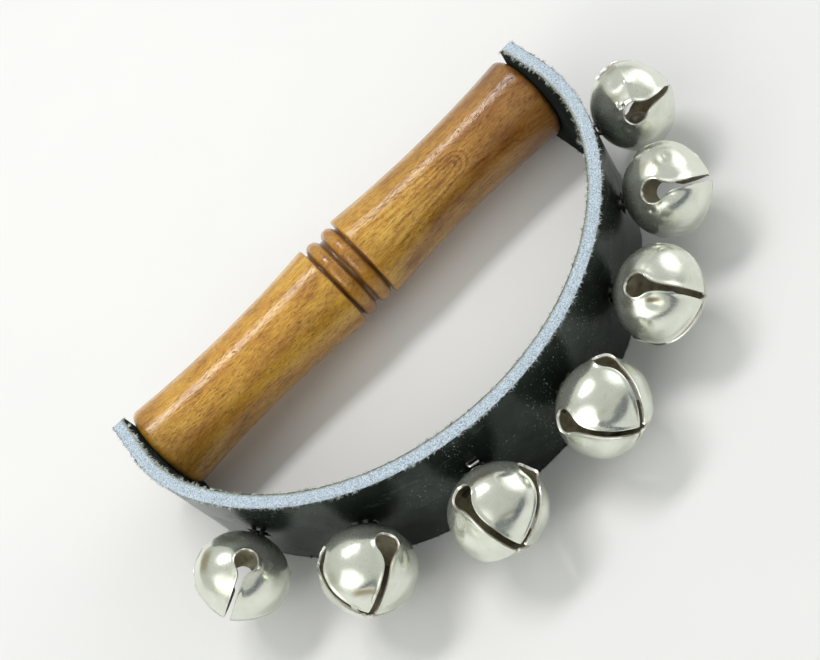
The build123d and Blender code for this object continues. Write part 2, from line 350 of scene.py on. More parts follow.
def wood_figure(x, y, z, waves):
    """The tongue on the right half, where growth rings close: the distance in millimetres from its middle
    line, how much of the figure shows at a point, and how much of the dark band below it shows."""
    angle = radians(FIGURE_ANGLE)
    across = minus(times(y, sin(angle)), times(z, cos(angle)))
    facing = plus(times(y, cos(angle)), times(z, sin(angle)))
    wavy = plus(across, times(waves, 2.2))
    spread = remap(x, FIGURE_PLACE, FIGURE_PLACE - FIGURE_TAPER, 1.0, 2.0)
    sideways = calculate("DIVIDE", minus(wavy, FIGURE_SHIFT), spread)
    ahead = calculate("MAXIMUM", times(minus(x, FIGURE_PLACE), 0.62), 0.0)
    distance = length_of(ahead, sideways)
    near_side = remap(facing, 2.0, 6.0)
    begun = remap(x, *FIGURE_FADES_IN)
    inside = remap(distance, FIGURE_HALF_WIDTH, FIGURE_HALF_WIDTH - 2.5)
    shown = times(times(inside, near_side), begun)
    off_band = apart(wavy, remap(x, 62.0, 12.0, -3.0, -10.5))
    band = times(remap(off_band, 3.4, 0.8), remap(x, *BAND_FADES_OUT))
    return distance, shown, times(times(band, near_side), begun)


def growth_rings(x, y, z, waves):
    """Faint rings round a pith beside the handle, stronger on the right half."""
    from_pith = length_of(minus(y, PITH[0]), minus(z, PITH[1]))
    slanted = plus(from_pith, times(waves, 1.6))
    fine = calculate("SINE", times(slanted, 8.0))
    broad = calculate("SINE", times(slanted, 1.5))
    strength = remap(x, -30.0, 40.0, 0.008, 0.025)
    return plus(times(fine, strength), times(broad, strength))


def wood_material():
    """Turned and varnished hardwood: growth rings, a tongue figure on the right half, short streaks and
    open pores, browner towards the right end, and painted shade that darkens the middle grooves."""
    material, tree, shader = new_material("varnished_wood")
    place = object_place(tree)
    parts = add_node(tree, "ShaderNodeSeparateXYZ", {"Vector": place}).outputs
    x, y, z = [minus(part, middle) for part, middle in zip(parts, HANDLE_MIDDLE / MM)]
    waves = noise_of(object_place(tree, (0.3, 1.0, 1.0)), 6.0)
    from_tongue, tongue, dark_band = wood_figure(x, y, z, waves)
    arcs = calculate("SINE", times(from_tongue, 5.2))
    arcs = times(times(arcs, tongue), 0.045)

    streaks = noise_of(object_place(tree, (0.26, 1.9, 1.9)), 0.75, detail=7.0, roughness=0.78)
    patches = noise_of(object_place(tree, (0.3, 0.8, 0.8)), 4.0, detail=8.0, roughness=0.7)
    grain = plus(times(streaks, 0.5), times(patches, 0.5))
    grain = plus(plus(grain, growth_rings(x, y, z, waves)), arcs)
    stops = [(0.36, (0.25, 0.088, 0.012)), (0.46, (0.51, 0.232, 0.028)),
             (0.56, (0.685, 0.37, 0.056)), (0.72, (0.8, 0.52, 0.14))]
    colour = colour_ramp(grain, stops)
    colour = cover(colour, tongue, 0.85, (1.22, 1.32, 1.55), "MULTIPLY")
    broken = remap(patches, 0.3, 0.6, 1.0, 0.45)
    colour = cover(colour, dark_band, broken, (0.5, 0.35, 0.26), "MULTIPLY")
    colour = cover(colour, remap(x, 5.0, 78.0), 0.95, (0.41, 0.32, 0.54), "MULTIPLY")
    beads = remap(calculate("ABSOLUTE", x), SHOULDER_PLACE + 0.3, SHOULDER_PLACE - 0.4)
    colour = cover(colour, beads, 0.7, (0.66, 0.52, 0.45), "MULTIPLY")
    tone = remap(noise_of(object_place(tree, (0.6, 1, 1)), 22.0, detail=2.0), 0.35, 0.65)
    colour = cover(colour, tone, 0.8, (0.95, 1.03, 0.92), "MULTIPLY")
    pore_noise = noise_of(object_place(tree, (0.45, 2.6, 2.6)), 0.8, detail=4.0, roughness=0.75)
    pores = remap(pore_noise, 0.57, 0.62)
    colour = cover(colour, pores, 0.78, (0.105, 0.038, 0.008))
    # Painted shade: the middle grooves darken with their depth.
    painted_groove_shade = remap(attribute_value(tree, "recess"), 0.0, 1.0)
    colour = cover(colour, painted_groove_shade, 0.8, (0.08, 0.026, 0.008))
    dings = remap(noise_of(place, 3.5, detail=2.0), 0.25, 0.5)
    normal = bump_normal([(pores, 0.8, -0.07), (streaks, 0.6, 0.07), (dings, 0.3, 0.1)])
    fill(shader, {"Base Color": colour, "Roughness": remap(streaks, 0.3, 0.7, 0.32, 0.5),
                        "Coat Weight": 1.0, "Coat Roughness": 0.15, "Specular IOR Level": 0.15,
                        "Normal": normal, "Coat Normal": normal})
    return material


def leather_material():
    """Black finished leather with pale, fibrous cut edges. The point layer 'cut' is 1 on a cut edge,
    and 'through' runs from -1 on the inner face to 1 on the outer one."""
    material, tree, shader = new_material("black_leather")
    place = object_place(tree)
    fray = noise_of(place, 0.5, detail=5.0, roughness=0.75)
    frayed = plus(attribute_value(tree, "cut"), remap(fray, 0.25, 0.75, -0.42, 0.42))
    edge = remap(frayed, 0.44, 0.54)

    cells = add_node(tree, "ShaderNodeTexVoronoi", {"Vector": place, "Scale": 1.25})
    grain_cells = cells.outputs["Distance"]
    scuff_noise = noise_of(object_place(tree, (0.5, 0.5, 1.1)), 6.0, detail=7.0, roughness=0.65)
    scuffs = remap(scuff_noise, 0.56, 0.75)
    specks = remap(noise_of(place, 0.5, detail=1.0), 0.7, 0.725)
    dusty_areas = remap(noise_of(place, 16.0, detail=2.0), 0.46, 0.62, 0.1, 1.0)
    black = mix_colours(scuffs, (0.0065, 0.009, 0.008), (0.02, 0.028, 0.025))
    dusty = cover(black, times(specks, dusty_areas), 0.8, (0.45, 0.52, 0.5))

    fibre_noise = noise_of(place, 0.34, detail=6.0, roughness=0.75)
    stops = [(0.36, (0.09, 0.11, 0.13)), (0.46, (0.4, 0.48, 0.57)),
             (0.56, (0.66, 0.77, 0.88)), (0.7, (0.9, 0.95, 0.99))]
    fibres = colour_ramp(fibre_noise, stops)
    through = attribute_value(tree, "through")
    ragged = plus(through, remap(fray, 0.25, 0.75, -0.3, 0.3))
    fibres = cover(fibres, remap(ragged, -0.5, -0.75), 0.75, (0.26, 0.26, 0.15))
    fibres = cover(fibres, remap(ragged, -0.8, -0.98), 0.9, (0.03, 0.034, 0.022))

    smooth = remap(scuffs, 0.0, 1.0, 0.23, 0.42)
    dull = calculate("MAXIMUM", edge, remap(through, -0.9, -0.99))
    rough = calculate("MAXIMUM", smooth, times(dull, 0.95))
    sheen = remap(noise_of(place, 15.0), 0.36, 0.64, 0.24, 0.62)
    sheen = times(sheen, remap(through, -0.99, -0.9, 0.4, 1.0))
    folds = noise_of(place, 5.0)
    fibre_height = times(fibre_noise, edge)
    normal = bump_normal([(folds, 0.35, 0.12), (grain_cells, 0.22, 0.05), (fibre_height, 0.9, 0.35)])
    fill(shader, {"Base Color": mix_colours(edge, dusty, fibres), "Roughness": rough,
                        "Specular IOR Level": sheen, "Specular Tint": (0.76, 1.0, 0.9, 1.0),
                        "Normal": normal})
    return material


def fibre_material():
    """Loose fibres of the leather's cut edges: pale, and darker where the dye has run into them."""
    material, tree, shader = new_material("leather_fibre")
    place = object_place(tree)
    dye = noise_of(place, 1.6)
    stops = [(0.34, (0.06, 0.07, 0.05)), (0.46, (0.42, 0.46, 0.42)), (0.6, (0.74, 0.82, 0.88))]
    colour = colour_ramp(dye, stops)
    fill(shader, {"Base Color": colour, "Roughness": remap(dye, 0.3, 0.7, 0.95, 0.8),
                        "Normal": bump_normal([(noise_of(place, 0.1), 0.4, 0.02)])})
    return material


def floor_material():
    material, tree, shader = new_material("pale_floor")
    mottle = noise_of(object_place(tree), 60.0, detail=4.0)
    colour = colour_ramp(mottle, [(0.3, (0.775, 0.775, 0.78)), (0.7, (0.79, 0.79, 0.79))])
    fill(shader, {"Base Color": colour, "Roughness": 0.9, "Specular IOR Level": 0.1})
    return material


# ---- Handle ----

def handle_outline():
    """Half the turned outline, from the middle groove to the end face: (place, radius) points."""
    points = [(0.0, GROOVE_RADIUS), (BEAD_START, GROOVE_RADIUS)]
    half = (BEAD_END - BEAD_START) / 2
    swell = BEAD_RADIUS - GROOVE_RADIUS
    arc_radius = (half ** 2 + swell ** 2) / (2 * swell)
    opening = asin(half / arc_radius)
    for i in range(1, 17):
        angle = opening * (i / 8 - 1)
        points.append((BEAD_START + half + arc_radius * sin(angle),
                       BEAD_RADIUS - arc_radius * (1 - cos(angle))))
    points += [(SHOULDER_PLACE - 0.5, GROOVE_RADIUS), (SHOULDER_PLACE - 0.38, SHOULDER_RADIUS - 0.45),
               (SHOULDER_PLACE - 0.12, SHOULDER_RADIUS - 0.1)]
    rim_start = HANDLE_HALF - HANDLE_RIM_ROUNDING
    points += sagging_arc((SHOULDER_PLACE + 0.2, SHOULDER_RADIUS),
                          (HANDLE_WAIST_PLACE, HANDLE_WAIST_RADIUS), (rim_start, HANDLE_END_RADIUS), 48)
    rim_radius = HANDLE_END_RADIUS - HANDLE_RIM_ROUNDING
    for i in range(1, 11):
        angle = radians(9 * i)
        points.append((rim_start + HANDLE_RIM_ROUNDING * sin(angle),
                       rim_radius + HANDLE_RIM_ROUNDING * cos(angle)))
    for share in (0.8, 0.6, 0.4, 0.2, 0.13):
        points.append((HANDLE_HALF, rim_radius * share))
    return points


def sagging_arc(start, through, end, count):
    """Points along the circle through three points."""
    (ax, ay), (bx, by), (cx, cy) = start, through, end
    d = 2 * (ax * (by - cy) + bx * (cy - ay) + cx * (ay - by))
    a2, b2, c2 = ax * ax + ay * ay, bx * bx + by * by, cx * cx + cy * cy
    ux = (a2 * (by - cy) + b2 * (cy - ay) + c2 * (ay - by)) / d
    uy = (a2 * (cx - bx) + b2 * (ax - cx) + c2 * (bx - ax)) / d
    radius = hypot(ax - ux, ay - uy)
    first = atan2(ay - uy, ax - ux)
    last = atan2(cy - uy, cx - ux)
    angles = [first + (last - first) * i / count for i in range(count + 1)]
    return [(ux + radius * cos(a), uy + radius * sin(a)) for a in angles]


def recess_of(place, radius):
    """How deep a point sits in the middle grooves, from 0 to 1; the wood's painted shade follows it."""
    if abs(place) > SHOULDER_PLACE:
        return 0.0
    return max(0.0, min(1.0, (BEAD_RADIUS - 0.5 - radius) / (BEAD_RADIUS - 0.5 - GROOVE_RADIUS)))


def make_handle(material):
    half = handle_outline()
    outline = [(-x, r) for x, r in reversed(half)] + half[1:]
    turns = 144
    points = []
    recess = []
    for x, r in outline:
        for j in range(turns):
            angle = 2 * pi * j / turns
            wobble = 1 + 0.0022 * ripple((x / 4, cos(angle), sin(angle)), 1.4, 3.0)
            points.append((x, r * wobble * cos(angle), r * wobble * sin(angle)))
            recess.append(recess_of(x, r))
    faces = [tuple(reversed(face)) for face in grid_faces(len(outline), turns, closed=True)]
    last = (len(outline) - 1) * turns
    faces += [tuple(reversed(range(turns))), tuple(range(last, last + turns))]
    handle = piece_from("handle_turned", points, faces, "frame", [material])
    float_layer(handle, "recess", recess)
    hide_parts("handle")


# ---- Strap ----

def strap_stretches():
    """The strap's middle line as arcs (centre, radius, start, sweep in degrees), left to right,
    and the length of the right straight end."""
    half = HANDLE_HALF + STRAP_THICKNESS / 2
    (left_radius, left_angle), (right_radius, right_angle) = LEFT_BEND, RIGHT_BEND
    left_turn, right_turn = radians(left_angle), radians(right_angle)
    left_main = left_radius + (half + APEX_SHIFT - left_radius) / cos(left_turn)
    right_main = right_radius + (half - APEX_SHIFT - right_radius) / cos(right_turn)
    depth = left_main + STRAIGHT_END - (left_main - left_radius) * sin(left_turn)
    right_end = depth - right_main + (right_main - right_radius) * sin(right_turn)
    arcs = [
        ((left_radius - half, -STRAIGHT_END), left_radius, 180, left_angle),
        ((APEX_SHIFT, left_main - depth), left_main, 180 + left_angle, 90 - left_angle),
        ((APEX_SHIFT, right_main - depth), right_main, 270, 90 - right_angle),
        ((half - right_radius, -right_end), right_radius, 360 - right_angle, right_angle),
    ]
    return arcs, right_end


def strap_stations():
    """Stations along the middle line: (point, outward direction)."""
    step = STATION_STEP
    arcs, right_end = strap_stretches()
    half = HANDLE_HALF + STRAP_THICKNESS / 2
    stations = []
    near_end = [STRAP_CORNER_RADIUS * (1 - cos(radians(a))) for a in range(0, 91, 10)]
    left = near_end + list(np.arange(STRAP_CORNER_RADIUS + step, STRAP_OVERHANG + STRAIGHT_END, step))
    for d in left:
        stations.append(((-half, STRAP_OVERHANG - d), (-1.0, 0.0)))
    for (cx, cy), radius, start, sweep in arcs:
        count = max(2, round(radius * radians(sweep) / step))
        for i in range(count):
            angle = radians(start + sweep * i / count)
            out = (cos(angle), sin(angle))
            stations.append(((cx + radius * out[0], cy + radius * out[1]), out))
    right = list(np.arange(STRAP_CORNER_RADIUS + step, STRAP_OVERHANG + right_end, step))
    for d in list(reversed(right)) + list(reversed(near_end)):
        stations.append(((half, STRAP_OVERHANG - d), (1.0, 0.0)))
    return stations


def strap_half_width(y):
    """Half the strap's width at a place along y, narrower at the rounded corners of its ends."""
    into_corner = max(0.0, STRAP_CORNER_RADIUS - (STRAP_OVERHANG - y))
    return STRAP_HALF_WIDTH - STRAP_CORNER_RADIUS + sqrt(STRAP_CORNER_RADIUS ** 2 - into_corner ** 2)


def strap_section():
    """The cut across the strap as (share of the half width, share of the half thickness, cut) points,
    going round from the outer lower corner. Cut edges carry closer points than the faces."""
    half = [0.18, 0.36, 0.52, 0.66, 0.78, 0.88, 0.95, 0.985, 1]
    face = [-w for w in reversed(half)] + [0] + half
    edge = [i / EDGE_STEPS for i in range(1 - EDGE_STEPS, EDGE_STEPS)]
    outer = [(w, 1.0, 0.5 if abs(w) == 1 else 0.0) for w in face]
    top = [(1.0, t, 1.0) for t in reversed(edge)]
    inner = [(w, -1.0, 0.5 if abs(w) == 1 else 0.0) for w in reversed(face)]
    bottom = [(-1.0, t, 1.0) for t in edge]
    return outer + top + inner + bottom


def strap_point(station, share_across, share_through, cut, amount):
    """A point of the strap's skin. Cut edges bulge a little and are rough with fibres; faces are
    nearly smooth. amount is 0 where the strap has to lie flat on the handle's end."""
    (px, py), (ox, oy) = station
    half = strap_half_width(py)
    through = share_through * STRAP_THICKNESS / 2
    height = share_across * half
    if cut > 0:
        side = 1 if share_across > 0 else -1
        rounding = 0.34 * abs(share_through) ** 5
        spot = (px, py, 2.1 * through + 9 * side)
        fluff = 0.16 * ripple(spot, 0.9, 5.0) + 0.10 * ripple(spot, 0.42, 8.0)
        height += side * (fluff - rounding)
        if side < 0:
            height = max(height, -half)  # the lower edge rests on the floor
        through += 0.12 * share_through * ripple((px, py, height), 0.7, 11.0)
    wave = 0.07 * ripple((px, py, height), 9.0, 2.0) * amount
    through += wave * (1 if share_through > 0 else 0.4)
    return (px + ox * through, py + oy * through, height)


def make_strap_body(material):
    stations = strap_stations()
    section = strap_section()
    points = []
    cut_layer = []
    through_layer = []
    for station in stations:
        amount = min(1.0, max(0.0, (-STRAIGHT_END - station[0][1]) / 15))
        end_cut = 1.0 if station[0][1] > STRAP_OVERHANG - 0.05 else 0.0
        for share_across, share_through, cut in section:
            points.append(strap_point(station, share_across, share_through, cut, amount))
            cut_layer.append(max(cut, end_cut * 0.5))
            through_layer.append(share_through)
    columns = len(section)
    faces = grid_faces(len(stations), columns, closed=True)
    add_end_caps(points, cut_layer, through_layer, faces, len(stations), columns)
    strap = piece_from("strap_leather", points, faces, "frame", [material])
    float_layer(strap, "cut", cut_layer)
    float_layer(strap, "through", through_layer)
    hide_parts("strap")
    return strap


def add_end_caps(points, cut_layer, through_layer, faces, rows, columns):
    """Closes both ends of the strap with a roughened cut face, made of rows between the outer and
    the inner skin."""
    face_count = columns // 2 - EDGE_POINTS
    inner_last = columns - EDGE_POINTS - 1
    for first in (0, (rows - 1) * columns):
        rings = [[first + j for j in range(face_count)]]
        for k in range(1, EDGE_POINTS + 1):
            share = k / (EDGE_POINTS + 1)
            ring = [first + columns - k]
            for j in range(1, face_count - 1):
                outer = Vector(points[first + j])
                inner = Vector(points[first + inner_last - j])
                spot = outer.lerp(inner, share)
                spot.y += 0.12 * ripple(spot, 0.8, 6.0) - 0.05
                points.append(tuple(spot))
                cut_layer.append(1.0)
                through_layer.append(1 - 2 * share)
                ring.append(len(points) - 1)
            rings.append(ring + [first + face_count - 1 + k])
        rings.append([first + inner_last - j for j in range(face_count)])
        for upper, lower in zip(rings, rings[1:]):
            for j in range(face_count - 1):
                quad = (upper[j], upper[j + 1], lower[j + 1], lower[j])
                faces.append(quad if first else tuple(reversed(quad)))


def add_fibre(points, faces, root, direction, curl, length, thickness):
    """A thin pointed fibre that starts at a root and curls away from its direction."""
    start = len(points)
    rings = 4
    for i in range(rings):
        share = i / rings
        middle = root + direction * (length * share) + curl * (length * share * share)
        heading = (direction + curl * (2 * share)).normalized()
        across = heading.orthogonal().normalized()
        other = heading.cross(across)
        radius = thickness * (1 - 0.7 * share)
        for j in range(3):
            angle = 2 * pi * j / 3
            points.append(middle + across * (radius * cos(angle)) + other * (radius * sin(angle)))
    points.append(root + direction * length + curl * length)
    faces.append((start, start + 1, start + 2))
    for face in grid_faces(rings, 3, start, closed=True):
        faces.append(tuple(reversed(face)))
    last = start + 3 * (rings - 1)
    for j in range(3):
        faces.append((last + (j + 1) % 3, last + j, len(points) - 1))


def make_fibres(material):
    """Tufts of loose fibres along both borders of the strap's cut edges."""
    chance = random.Random(7)
    stations = strap_stations()
    points = []
    faces = []
    for side in (1, -1):
        for border, tufts in ((1, 420), (-1, 330)):
            for _ in range(tufts):
                station = chance.choice(stations)
                ox, oy = station[1]
                outwards = Vector((ox * border, oy * border, 0))
                along = Vector((-oy, ox, 0))
                up = Vector((0, 0, side))
                depth = border * chance.uniform(0.80, 0.97)
                corner = Vector(strap_point(station, side, depth, 1.0, 1.0))
                for _ in range(chance.randint(2, 6)):
                    root = corner + along * chance.gauss(0, 0.22) - up * 0.12
                    direction = (outwards * chance.uniform(0.2, 1.0) + along * chance.gauss(0, 0.6)
                                 + up * chance.uniform(0.0, 0.7)).normalized()
                    curl = outwards * chance.uniform(0.0, 0.4) - up * chance.uniform(0.1, 0.8)
                    add_fibre(points, faces, root, direction, curl + along * chance.gauss(0, 0.3),
                              chance.uniform(0.3, 1.1), chance.uniform(0.05, 0.12))
    lying = [(p.x, p.y, max(p.z, -STRAP_HALF_WIDTH)) for p in points]
    piece_from("strap_fibres", lying, faces, "frame", [material])


def pivot_of(number):
    return Vector(JOINTS[f"bell_{number}_rock"]["pos_m"])


def bell_frame(number):
    """A bell's frame, in millimetres about the handle's middle: along the strap, up, and outwards,
    with its origin at the widest place of the bell."""
    pivot = pivot_of(number)
    centre = middle_of(f"bell_pellet_{number}")
    centre.z = HANDLE_MIDDLE.z
    outwards = Vector((centre.x - pivot.x, centre.y - pivot.y, 0)).normalized()
    along = Vector((-outwards.y, outwards.x, 0))
    up = Vector((0, 0, 1))
    origin = (centre - HANDLE_MIDDLE) / MM
    turned = Matrix((along, up, outwards)).transposed()
    return Matrix.LocRotScale(origin, turned, None)


def rod_into(bm, matrix, radius, depth, sides):
    bmesh.ops.create_cone(bm, cap_ends=True, segments=sides, radius1=radius, radius2=radius,
                          depth=depth, matrix=matrix)


def slot_into(bm, matrix):
    """A slot with round ends, standing on the strap's face."""
    half = (SLOT_LENGTH - SLOT_WIDTH) / 2
    outline = []
    for side in (1, -1):
        for i in range(13):
            angle = radians(-90 + 15 * i) + (0 if side > 0 else pi)
            outline.append((side * half + SLOT_WIDTH / 2 * cos(angle), SLOT_WIDTH / 2 * sin(angle)))
    low = [bm.verts.new(matrix @ Vector((x, y, -CUTTER_REACH))) for x, y in outline]
    high = [bm.verts.new(matrix @ Vector((x, y, CUTTER_REACH))) for x, y in outline]
    bm.faces.new(list(reversed(low)))
    bm.faces.new(high)
    for i in range(len(outline)):
        j = (i + 1) % len(outline)
        bm.faces.new((low[i], low[j], high[j], high[i]))


def cut_fixings(strap):
    """The slots of the bells and the screw holes, through the strap, and the staples' blind holes."""
    bm = bmesh.new()
    for number in BELL_NUMBERS:
        face_frame = bell_frame(number)
        face_frame.translation = (pivot_of(number) - HANDLE_MIDDLE) / MM
        slot_into(bm, face_frame)
        shift = THIRD_STAPLE_SHIFT if number == 3 else 0.0
        for side in (-1, 1):
            top = THROUGH_HOLE_TOP if number == 3 and side > 0 else STAPLE_HOLE_TOP
            middle = (top + STAPLE_HOLE_BOTTOM) / 2
            hole = face_frame @ Matrix.Translation((0, shift + side * STAPLE_HALF_WIDTH, middle))
            rod_into(bm, hole, STAPLE_HOLE_RADIUS, top - STAPLE_HOLE_BOTTOM, 20)
    for side in (-1, 1):
        end = Matrix.Translation((side * (HANDLE_HALF + STRAP_THICKNESS / 2), 0, 0))
        rod_into(bm, end @ Matrix.Rotation(pi / 2, 4, "Y"), SCREW_HOLE_RADIUS, 2 * CUTTER_REACH, 40)
    bmesh.ops.recalc_face_normals(bm, faces=bm.faces)
    bm.transform(Matrix.Translation(HANDLE_MIDDLE) @ Matrix.Scale(MM, 4))
    mesh = bpy.data.meshes.new("fixing_cutters")
    bm.to_mesh(mesh)
    bm.free()
    cutter = add_object("fixing_cutters", mesh)
    cut = strap.modifiers.new("fixings", "BOOLEAN")
    cut.operation = "DIFFERENCE"
    cut.solver = "EXACT"
    cut.object = cutter
    apply_modifiers(strap)
    bpy.data.objects.remove(cutter)


def apply_modifiers(obj):
    """Puts the result of the modifiers into the mesh."""
    graph = bpy.context.evaluated_depsgraph_get()
    result = bpy.data.meshes.new_from_object(obj.evaluated_get(graph), preserve_all_data_layers=True,
                                             depsgraph=graph)
    obj.modifiers.clear()
    obj.data = result


# ---- Bells ----

def bell_outline_at(height):
    """The bell's radius and its outward direction (across, along) at a height on its axis."""
    arcs = ((DOME_END, DOME), (0, CROWN_SIDE), (PETAL_SIDE_END, PETAL_SIDE), (inf, PETAL_TIP))
    across, centre, radius = next(arc for end, arc in arcs if height < end)
    rise = (height - centre) / radius
    spread = sqrt(max(0.0, 1 - rise * rise))
    return across + radius * spread, spread, rise


def height_at_radius(radius):
    across, centre, arc = PETAL_TIP
    return centre + sqrt(arc ** 2 - (radius - across) ** 2)


def slit_half_at(height, funnel_end=FUNNEL_END):
    """Half the width of the keyhole at a height: a round hole, a funnel and a slit."""
    if height <= HOLE_HEIGHT - HOLE_RADIUS:
        return 0.0
    if height < FUNNEL_START:
        return sqrt(max(0.0, HOLE_RADIUS ** 2 - (height - HOLE_HEIGHT) ** 2))
    if height > funnel_end:
        return SLIT_HALF
    length = funnel_end - FUNNEL_START
    t = (height - FUNNEL_START) / length
    wide = sqrt(HOLE_RADIUS ** 2 - (FUNNEL_START - HOLE_HEIGHT) ** 2)
    slope = -(FUNNEL_START - HOLE_HEIGHT) / wide
    return (wide * (2 * t ** 3 - 3 * t ** 2 + 1) + slope * length * (t ** 3 - 2 * t ** 2 + t)
            + SLIT_HALF * (3 * t ** 2 - 2 * t ** 3))


def ring_heights():
    """Heights of the rings of points, from beside the crown's pole to the petals' noses."""
    heights = [DOME[1] - DOME[2] * cos(radians(1.88 * i)) for i in range(1, 31)]
    heights += [-4.95, -4.7]
    heights += [HOLE_HEIGHT - HOLE_RADIUS * cos(radians(127 * i / 21)) for i in range(21)]
    heights += list(np.linspace(FUNNEL_START, FUNNEL_END, 22))
    heights += list(np.linspace(FUNNEL_END, height_at_radius(NOSE_START_RADIUS), 20))[1:]
    nose = NOSE_START_RADIUS - NOSE_END_RADIUS
    for i in range(1, 8):
        radius = NOSE_START_RADIUS - nose * sin(radians(88 * i / 7))
        heights.append(height_at_radius(radius))
    return heights


def petal_half_angle(height, radius, funnel_end):
    """Half the angle that a petal takes up at a ring, rounded off at its nose."""
    half = slit_half_at(height, funnel_end)
    angle = pi / 4 - asin(min(0.99, half / radius))
    if radius < NOSE_START_RADIUS and height > 0:
        share = (NOSE_START_RADIUS - radius) / (NOSE_START_RADIUS - NOSE_END_RADIUS)
        angle *= sqrt(max(0.0, 1 - share * share))
    return angle


def edge_distance(azimuth, height, radius, funnel_end):
    """How far a point lies from the nearest keyhole's edge, with which keyhole and on which side."""
    slit = round(azimuth / 90) % 4
    away = radians((azimuth - 90 * slit + 180) % 360 - 180)
    lateral = radius * sin(away)
    if height < FUNNEL_START:
        distance = hypot(lateral, height - HOLE_HEIGHT) - HOLE_RADIUS
    else:
        distance = abs(lateral) - slit_half_at(height, funnel_end)
    return max(0.0, distance), slit, 1 if lateral >= 0 else -1


# Dents, as (azimuth, height, width across, width along, depth): a depth below 0 is a bump. Azimuth is
# in degrees from the first keyhole. The pellet has only 0.15 mm to spare where it lies at the ends of
# its travel (height 0, azimuths 270 and 90 less the bell's turn), so dents and creases avoid those places.
BELL_DENTS = {
    1: [(332, -2.4, 2.4, 2, 0.3), (56, 0.5, 0.5, 0.5, -0.1), (55, 2.3, 0.5, 0.5, -0.1),
        (48, 7, 2.4, 1.8, 0.18), (140, 2, 2, 3, 0.25), (222, -3, 3, 2, 0.25)],
    2: [(339, 1.3, 1.1, 2.3, 0.35), (102, -2.6, 0.9, 0.8, 0.3), (108, -0.2, 0.8, 0.7, -0.22),
        (74, 4.6, 2.6, 2, 0.32), (200, 1, 2.5, 2.5, 0.3), (30, 9.6, 3, 0.8, 0.14)],
    3: [(38, -1, 2, 1, 0.16), (111, 3.3, 2.2, 1.2, 0.34), (342, -1.7, 0.9, 0.9, -0.3),
        (46, -0.2, 0.25, 0.9, 0.07), (205, 3, 3, 2.4, 0.2), (52, 7.6, 1.6, 0.9, 0.14)],
    4: [(12, -4.4, 1.5, 0.8, -0.35), (60, 7.2, 1.2, 1, 0.18), (72, 6.8, 0.7, 0.6, -0.12),
        (150, 2, 2.6, 2.2, 0.28), (300, -1, 2.5, 2.5, 0.25)],
    5: [(110, 3.6, 1.5, 2.4, 0.75), (110, -4.5, 0.7, 0.7, -0.22), (129, 0.2, 1.4, 2.2, -0.14),
        (205, 1, 2.4, 2.2, 0.3), (320, 3, 2.2, 2.8, 0.24)],
    6: [(50, 3, 1.9, 1.5, 0.62), (46, 3.6, 0.7, 0.6, -0.15), (105, -4.4, 0.7, 0.8, -0.35),
        (97, -5.2, 0.5, 0.5, 0.3), (113, -3.2, 0.6, 0.8, 0.3), (101, 2.7, 0.9, 2, 0.45),
        (305, 0, 2.4, 2.6, 0.3)],
    7: [(75, -3.4, 0.7, 0.7, 0.55), (70, -4.5, 0.8, 0.8, -0.5), (106, -4.8, 1.3, 1, 0.5),
        (88, -5.4, 0.7, 0.7, -0.4), (40, -2, 2, 1.6, 0.3), (190, 2, 2.4, 2.2, 0.25),
        (300, 1, 2.4, 2.4, 0.25)],
}

# Creases, as (azimuth and height of the start, the same of the end, width, depth)
BELL_CREASES = {
    1: [],
    2: [(96, -4.2, 112, 1.5, 0.35, 0.2)],
    3: [(44, -1.6, 47, 0.8, 0.18, 0.1)],
    4: [(290, -3, 330, 2, 0.4, 0.2)],
    5: [(30, 2, 78, -0.2, 0.5, 0.15), (285, -2, 330, 1.5, 0.5, 0.25)],
    6: [(140, -2, 160, 4, 0.5, 0.2)],
    7: [(0, 1.9, 52, 0.9, 1.7, -0.72), (52, 0.9, 76, -0.6, 1.2, -0.5)],
}

# Warm marks, as (azimuth, height, width across, width along, strength): partly real stains and hand marks,
# partly painted reflections, such as the thin olive arcs low on the second and third bells
BELL_STAINS_AND_REFLECTIONS = {
    1: [(54, 1.3, 1.9, 3, 0.75), (40, -6, 4, 1, 0.4), (20, 6, 1.5, 2, 0.3)],
    2: [(32, 9.3, 3.2, 0.45, 0.9), (100, -2.4, 0.9, 1.6, 0.6), (76, 5, 1.2, 1.5, 0.3)],
    3: [(60, -2.6, 3, 1.3, 0.45), (52, 7.9, 2.8, 0.35, 0.5), (96, -3.6, 0.8, 1, 0.4)],
    4: [(84, -2.8, 1.2, 1.5, 0.5), (14, -3.9, 1.6, 0.8, 0.4)],
    5: [(106, 3.4, 0.8, 1.9, 0.75), (112, -3.6, 1.3, 1.3, 0.45), (70, -4.4, 2.5, 1, 0.4)],
    6: [(60, -1, 2, 3, 0.35), (42, 5.6, 1.4, 1.8, 0.3)],
    7: [(96, -0.6, 1.4, 1.4, 0.6), (60, -3.8, 1.8, 1.4, 0.4), (18, 0, 2, 1.4, 0.3)],
}

